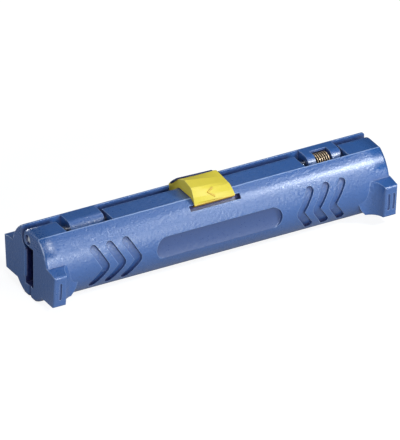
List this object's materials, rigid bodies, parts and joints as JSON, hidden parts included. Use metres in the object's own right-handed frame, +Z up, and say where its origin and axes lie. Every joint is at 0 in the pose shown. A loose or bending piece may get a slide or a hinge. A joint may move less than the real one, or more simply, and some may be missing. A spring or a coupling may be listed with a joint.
{
  "type": "coaxial cable stripper",
  "caption": "Pocket coaxial cable stripper: two blue half shells hinged along the top and sprung shut, a lug at each corner, blades at both ends and a yellow sliding catch.",
  "frame": {"origin": "middle of the length, on the seam between the two shells, at the underside", "axes": "+X along the body towards the end with two marks, +Y towards the back shell, +Z up through the hinge side"},
  "size_m": [0.105, 0.0282, 0.0237],
  "materials": {
    "shell_blue": "satin moulded, fine grain",
    "slider_yellow": "satin moulded, fine grain",
    "insert_black": "matte moulded",
    "steel": "ground",
    "screw_steel": "zinc plated",
    "spring_bronze": "drawn wire"
  },
  "bodies": {
    "front_half": {"front_shell": "shell_blue", "hinge_pin": "steel", "torsion_spring": "spring_bronze", "blade_holder_a": "insert_black", "blade_holder_b": "insert_black", "blade_rod_a": "steel", "blade_rod_b": "steel", "jacket_blade_a": "steel", "braid_blade_a": "steel", "core_blade_a": "steel", "jacket_blade_b": "steel", "core_blade_b": "steel", "holder_screws_a": "screw_steel", "holder_screws_b": "screw_steel"},
    "back_half": {"back_shell": "shell_blue", "cable_rest_a": "insert_black", "cable_rest_b": "insert_black", "rest_screws_a": "screw_steel", "rest_screws_b": "screw_steel"},
    "catch": {"lock_slider": "slider_yellow"}
  },
  "joints": [
    {"name": "open_jaws", "type": "hinge", "parent": "front_half", "child": "back_half", "pos_m": [0, 0.00085, 0.0171], "axis": [1, 0, 0], "range_deg": [0, 30], "stiffness_Nm_per_rad": 0.01, "springref_deg": -51.57, "deforming": ["torsion_spring"]},
    {"name": "slide_catch", "type": "slide", "parent": "front_half", "child": "catch", "axis": [1, 0, 0], "range_m": [-0.0015, 0.0015]}
  ]
}
